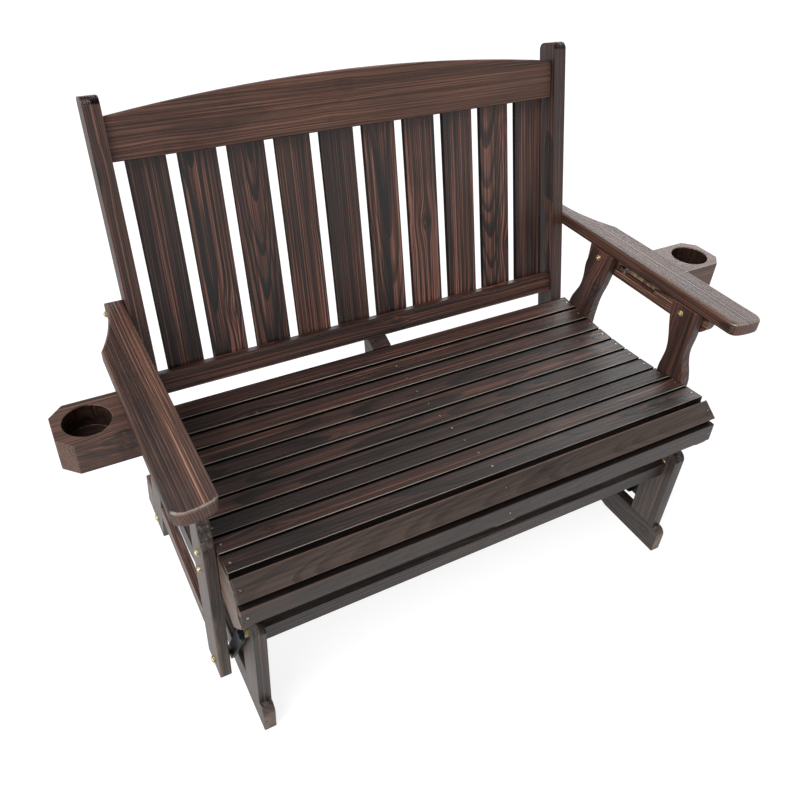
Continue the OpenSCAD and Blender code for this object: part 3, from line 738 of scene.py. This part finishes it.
for s, out in (("left", -1), ("right", 1)):
    post_wood = GREY if out < 0 else WOOD
    board(f"skid_{s}", ALONG_Y, ALONG_X, GREY, "dark_wood", radius=0.0022, tone=-0.02,
          strong=0.7, raw_end=-1, raw=1.42)
    for e in ("front", "rear"):
        board(f"leg_{e}_{s}", ALONG_Z, ALONG_X, GREY, "dark_wood", radius=0.0022, tone=0.04,
              flat_sawn=False, strong=0.8)
    board(f"arm_post_front_{s}", ALONG_Z, ALONG_X, post_wood, "dark_wood",
          radius=0.0022, tone=0.02, flat_sawn=False, strong=0.8)
    post = principal_lean(f"arm_post_rear_{s}")
    board(f"arm_post_rear_{s}", post, ALONG_X, post_wood, "dark_wood",
          radius=0.0022, tone=0.02, flat_sawn=False, strong=0.9)
    board(f"post_rail_{s}", ALONG_Y, ALONG_X, WARM, "warm_wood")
    board(f"post_block_{s}", post, ALONG_X, WARM, "warm_wood", tone=-0.12)
    board(f"seat_side_{s}", ALONG_Y, ALONG_X, GREY, "dark_wood", tone=0.34)
    board(f"back_post_{s}", LEAN, LEAN_FACE, WOOD, "dark_wood", radius=0.0025, tone=-0.04,
          flat_sawn=False, strong=0.9, dark_side=0.2)
    board(f"apron_{s}", ALONG_Y, ALONG_X, WARM, "warm_wood", tone=0.12)
    arm = arm_plate(f"armrest_{s}", radius=0.0055, corner=0.016)
    board(f"armrest_{s}", ALONG_Y, ALONG_Z, WARM, "dark_wood", tone=-0.08, shape=arm,
          flat_sawn=False, strong=0.85, dark_side=0.25, lip_end=-1)
    board(f"cup_holder_{s}", ALONG_X, ALONG_Z, WARM, "dark_wood", radius=0.0020, tone=0.06,
          flat_sawn=False, strong=0.6, raw_end=-out, raw=1.7, well=True)

for e in ("front", "rear"):
    board(f"stretcher_{e}", ALONG_X, ALONG_Y, GREY, "dark_wood", radius=0.0018, tone=-0.06,
          segments=3, strong=0.5)
board("seat_center", ALONG_Y, ALONG_X, WARM, "dark_wood", tone=-0.30, strong=0.5)
board("crest_rail", ALONG_X, LEAN_FACE, WARM, "dark_wood", radius=0.003, tone=0.14,
      flat_sawn=False, strong=0.5, dark_side=0.3)
board("back_rail", ALONG_X, LEAN_FACE, WOOD, "dark_wood", radius=0.0022, flat_sawn=False)

# The seat's slats count from the rear. From GREY_FROM on they stand below the
# nose, greyer, which is a painted sheen, and without a painted highlight.
NOSE_FROM, GREY_FROM = 10, 11
SLAT_TONES = (-0.08, -0.14, -0.10, -0.17, -0.20, -0.24, -0.22, -0.30, -0.26, -0.24, 0.08, 0.0)
for i, tone in enumerate(SLAT_TONES, 1):
    slat = f"seat_slat_{i:02d}"
    nose, grey = i >= NOSE_FROM, i >= GREY_FROM
    shape, up = slat_plate(slat, radius=0.0011 if nose else 0.0014)
    board(slat, ALONG_X, up, GREY if grey else WOOD, "dark_wood", tone=tone, shape=shape,
          strong=0.3 if grey else 0.95, dark_side=0.75 if nose else 1.0, lip=not grey,
          raw_end=-1, raw=1.6 if nose else 1.4)

BACK_TONES = (-0.22, -0.08, -0.14, -0.08, -0.18, -0.10, -0.04, -0.10, -0.06, -0.12)
BACK_STRONG = (1.3, 1.7, 1.5, 1.3, 1.0, 1.2, 1.6, 1.3, 1.5, 1.3)
BACK_FLAT_SAWN = (2, 3, 6, 9)
for j, (tone, strong) in enumerate(zip(BACK_TONES, BACK_STRONG), 1):
    board(f"back_slat_{j:02d}", LEAN, LEAN_FACE, WOOD, "dark_wood", radius=0.0012, tone=tone,
          strong=strong, dark_side=0.9, flat_sawn=j in BACK_FLAT_SAWN)

for node in ("link_front_left", "link_front_right", "link_rear_left", "link_rear_right"):
    obj = NODES[node]
    obj.data.materials.clear()
    obj.data.materials.append(STEEL)

# Hardware

# Shapes of turned heads: shares of the head's depth and of its radius
WASHER, HEX = 0.22, (0.62, 0.86)
CAP_SHAPE = ((0.6, 0.56), (0.8, 0.5), (0.93, 0.34), (1.0, 0.12))
LOW_HEAD_SHAPE = ((0.0, 1.0), (0.6, 1.0), (1.0, 0.72))

# Shapes of the screws' heads and of the near-black discs of painted shade in
# their holes: metres above the face, and shares of the head's radius
SCREW_SHAPE = ((-0.0010, 0.40), (0.0002, 0.72), (0.0004, 0.60), (0.0003, 0.30))
HOLE_SHAPE = ((-0.0020, 0.50), (-0.0003, 1.0), (0.0001, 0.98))
SCREW_SIDES = 20
SCREW_NECK, SCREW_END = 0.0015, 0.029  # metres below the face, the shank's two ends
SCREW_SHANK = 0.5  # share of the head's radius

SPACER_LONGEST, SPACER_R = 0.012, 0.0085  # shorter solids than this are spacer nuts
WIDE = 0.97  # share of the full radius from which a point is on a head's rim
ON_AXIS = 0.0005  # metres: less is the middle of a face, or no depth
FLAT_HEAD = 0.003  # metres, the depth where a head shows no second ring
SLIM = 0.98  # the drawn shank's share of the solid one's radius
SHANK_HALF, HEAD_REACH = 0.0030, 0.012  # metres from a screw's axis, and from its head


def solids(node):
    """The boxes of a node's separate solids, as (low, high) corners."""
    bm = welded(node)
    seen, boxes = set(), []
    for first in bm.verts:
        if first in seen:
            continue
        seen.add(first)
        stack, group = [first], []
        while stack:
            v = stack.pop()
            group.append(v.co)
            for e in v.link_edges:
                w = e.other_vert(v)
                if w not in seen:
                    seen.add(w)
                    stack.append(w)
        boxes.append(tuple(Vector([f(c[k] for c in group) for k in range(3)])
                           for f in (min, max)))
    bm.free()
    return boxes


def turned(bm, place, axis, outline, sides=24, flats=()):
    """A turned part: outline is (distance along axis, radius) pairs, and the
    rings named in flats are hexagons."""
    turn = axis.to_track_quat("Z", "Y").to_matrix()
    rings = []
    for k, (along, r) in enumerate(outline):
        ring = []
        for i in range(sides):
            a = 2 * math.pi * i / sides
            rr = r
            if k in flats:
                b = (a + math.pi / 6) % (math.pi / 3) - math.pi / 6
                rr = r * math.cos(math.pi / 6) / math.cos(b)
            spot = Vector((rr * math.cos(a), rr * math.sin(a), along))
            ring.append(bm.verts.new(place + turn @ spot))
        rings.append(ring)
    for a, b in zip(rings, rings[1:]):
        for i in range(sides):
            bm.faces.new((a[i], a[(i + 1) % sides], b[(i + 1) % sides], b[i]))
    bm.faces.new(rings[0][::-1])
    bm.faces.new(rings[-1])


def hardware(name, node, mat, draw):
    """A piece that draw makes, riding on the node's body, its arrises broken."""
    bm = bmesh.new()
    draw(bm)
    bmesh.ops.recalc_face_normals(bm, faces=bm.faces)
    obj = mesh_from(bm, name)
    obj.data.materials.append(mat)
    bevel = obj.modifiers.new("edges", "BEVEL")
    bevel.width = 0.0003
    bevel.segments = 2
    bevel.limit_method = "ANGLE"
    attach(obj, BODY_OF[node])
    return obj


def cap_nut(bm, place, axis, room, r):
    """Washer, hexagon and cap within a round head of that room and radius."""
    thin = room * WASHER
    deep, wide = HEX
    turned(bm, place, axis, [(0, r), (thin, r)])
    turned(bm, place, axis, [(thin, r * wide), (room * deep, r * wide)], flats=(0, 1))
    turned(bm, place, axis, [(room * d, r * w) for d, w in CAP_SHAPE])


def shank(bm, a, b, r):
    turned(bm, a, (b - a).normalized(), [(0, r), ((b - a).length, r)])


def ends_of(node, lo, hi):
    """A solid along X: the y and z of its axis, its full radius, the first and
    last x of that radius, and all its points as (x, distance from the axis)."""
    y, z = (lo.y + hi.y) / 2, (lo.z + hi.z) / 2
    near = [(v.co.x, math.hypot(v.co.y - y, v.co.z - z)) for v in NODES[node].data.vertices
            if lo.x - NEAR <= v.co.x <= hi.x + NEAR
            and abs(v.co.y - y) < (hi.y - lo.y) / 2 + NEAR
            and abs(v.co.z - z) < (hi.z - lo.z) / 2 + NEAR]
    big = (hi.z - lo.z) / 2
    wide = [x for x, r in near if r > big * WIDE]
    return y, z, big, min(wide), max(wide), near


def draw_frame_bolts(bm):
    for lo, hi in solids("frame_bolts"):
        y, z, big, x0, x1, near = ends_of("frame_bolts", lo, hi)
        base = (x0 + x1) / 2
        way = 1.0 if hi.x - base < base - lo.x else -1.0
        tip, end = (hi.x, lo.x) if way > 0 else (lo.x, hi.x)
        cap_nut(bm, Vector((base, y, z)), Vector((way, 0, 0)), abs(tip - base), big)
        shank(bm, Vector((base, y, z)), Vector((end, y, z)),
              min(r for x, r in near if abs(x - end) < NEAR and r > ON_AXIS) * SLIM)


def head_depth(near, x, big):
    """How deep the head at x is: a flat head's far ring, or a dome's foot."""
    wide = sorted({round(abs(px - x), 6) for px, r in near if r > big * WIDE})
    return next((d for d in wide if d > ON_AXIS), FLAT_HEAD)


def draw_pivots(bolts, dark):
    """Draws the low heads where dark is true, else caps, shanks and spacer nuts."""
    def draw(bm):
        for lo, hi in solids(bolts):
            y, z, big, _, _, near = ends_of(bolts, lo, hi)
            if hi.x - lo.x < SPACER_LONGEST:
                if not dark:
                    turned(bm, Vector((lo.x, y, z)), Vector((1, 0, 0)),
                           [(0, SPACER_R), (hi.x - lo.x, SPACER_R)], flats=(0, 1))
                continue
            # The cap is at the end with the deeper head
            left_h, right_h = head_depth(near, lo.x, big), head_depth(near, hi.x, big)
            cap_left = left_h > right_h
            for x, way, h, cap in ((lo.x, -1, left_h, cap_left), (hi.x, 1, right_h, not cap_left)):
                base = Vector((x - way * h, y, z))
                if cap and not dark:
                    cap_nut(bm, base, Vector((way, 0, 0)), h, big)
                elif not cap and dark:
                    turned(bm, base, Vector((way, 0, 0)), [(h * d, big * w) for d, w in LOW_HEAD_SHAPE])
            if not dark:
                thin = min(r for x, r in near if r > ON_AXIS)
                shank(bm, Vector((lo.x + left_h, y, z)), Vector((hi.x - right_h, y, z)), thin)
    return draw


def screw_axis(near):
    """Direction toward the head and the middle of the head's top."""
    x = (min(c.x for c in near) + max(c.x for c in near)) / 2
    wide = [c for c in near if abs(c.x - x) > SHANK_HALF]
    head = sum(wide, Vector()) / len(wide)
    rest = [c for c in near if (c - head).length > HEAD_REACH]
    foot = sum(rest, Vector()) / len(rest)
    head.x = foot.x = x
    axis = (head - foot).normalized()
    top = max((c - foot).dot(axis) for c in near)
    return axis, foot + axis * top


def draw_screws(bm, holes=False):
    """The screws in the slats, or the near-black discs of painted shade in the holes round their heads.
    """
    for lo, hi in solids("seat_screws"):
        near = [v.co for v in NODES["seat_screws"].data.vertices
                if all(lo[k] - NEAR <= v.co[k] <= hi[k] + NEAR for k in range(3))]
        axis, top = screw_axis(near)
        r = (hi.x - lo.x) / 2
        shape = HOLE_SHAPE if holes else SCREW_SHAPE
        turned(bm, top, axis, [(h, r * w) for h, w in shape], SCREW_SIDES)
        if not holes:
            shank(bm, top - axis * SCREW_NECK, top - axis * SCREW_END, r * SCREW_SHANK)


nuts = hardware("frame_nuts", "frame_bolts", BRASS, draw_frame_bolts)
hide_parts("frame_bolts")
for node in ("hanger_bolts", "foot_bolts"):
    caps = hardware(node + "_caps", node, BRASS, draw_pivots(node, False))
    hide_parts(node)
    hardware(node + "_heads", node, STEEL, draw_pivots(node, True))
screws = hardware("slat_screws", "seat_screws", SCREW, draw_screws)
# The discs of painted shade in the screw holes
hardware("slat_screw_holes", "seat_screws", HOLE_SHADE, lambda bm: draw_screws(bm, True))
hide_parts("seat_screws")

# Studio

WORLD_LEVEL = 0.38
OVERHEAD, OVERHEAD_FROM = 0.16, (0.05, 0.45)  # what gloss sees above, against 1 at the floor
SOFT_BOX = Vector((0.74, 0.53, 0.42)).normalized()  # a broad bright patch that gloss sees
SOFT_BOX_LEVEL, SOFT_BOX_EDGE = 2.25, (0.78, 0.96)
FLOOR_HALF, LAMP_AWAY = 30.0, 3.0  # metres
FLOOR_GLOW, FLOOR_IN_GLOSS = 0.85, 0.62  # its own light, and what gloss sees of that
FLOOR_GREY = 0.30


def make_world():
    world = bpy.data.worlds.new("studio")
    world.use_nodes = True
    bpy.context.scene.world = world
    t = Tree(world.node_tree)
    ray = t.add("ShaderNodeLightPath")
    seen = t.math("MAXIMUM", ray.outputs["Is Camera Ray"], ray.outputs["Is Transmission Ray"])
    way = t.add("ShaderNodeTexCoord").outputs["Generated"]
    overhead = t.step(t.split(way)[2], *OVERHEAD_FROM)
    glossy = t.math("MULTIPLY_ADD", overhead, OVERHEAD - 1.0, 1.0)
    box = t.step(t.vec("DOT_PRODUCT", way, SOFT_BOX), *SOFT_BOX_EDGE)
    glossy = t.math("MULTIPLY_ADD", box, SOFT_BOX_LEVEL, glossy)
    extra = t.math("SUBTRACT", glossy, WORLD_LEVEL)
    strength = t.math("MULTIPLY_ADD", ray.outputs["Is Glossy Ray"], extra, WORLD_LEVEL)
    strength = t.math("MAXIMUM", seen, strength)
    back = t.add("ShaderNodeBackground", {"Color": (1, 1, 1, 1), "Strength": strength})
    t.put(t.add("ShaderNodeOutputWorld").inputs["Surface"], back)


def make_floor():
    mesh = bpy.data.meshes.new("floor")
    r = FLOOR_HALF
    mesh.from_pydata([(-r, -r, 0), (r, -r, 0), (r, r, 0), (-r, r, 0)], [], [(0, 1, 2, 3)])
    floor = placed("floor", mesh)
    mat, t = new_material("floor")
    ray = t.add("ShaderNodeLightPath")
    mirrored = t.math("MULTIPLY", ray.outputs["Is Glossy Ray"], FLOOR_IN_GLOSS)
    seen = t.math("MAXIMUM", ray.outputs["Is Camera Ray"], mirrored)
    matt = t.add("ShaderNodeBsdfDiffuse", {"Color": (FLOOR_GREY, FLOOR_GREY, FLOOR_GREY, 1)})
    level = t.math("MULTIPLY", seen, FLOOR_GLOW)
    glow = t.add("ShaderNodeEmission", {"Color": (1, 1, 1, 1), "Strength": level})
    both = t.add("ShaderNodeAddShader", {0: matt, 1: glow})
    t.put(t.add("ShaderNodeOutputMaterial").inputs["Surface"], both)
    mesh.materials.append(mat)


def sun(name, source, strength, spread_deg):
    """A wide soft lamp that shines from the direction source."""
    data = bpy.data.lights.new(name, "SUN")
    data.energy = strength
    data.angle = math.radians(spread_deg)
    lamp = placed(name, data)
    lamp.location = Vector(source).normalized() * LAMP_AWAY
    lamp.rotation_euler = (-Vector(source)).to_track_quat("-Z", "Y").to_euler()


make_world()
make_floor()
sun("key", source=(-0.70, -0.30, 0.95), strength=2.0, spread_deg=36)
sun("left", source=(-1.0, -0.10, 0.40), strength=0.9, spread_deg=45)
bpy.context.scene.view_settings.view_transform = "Standard"
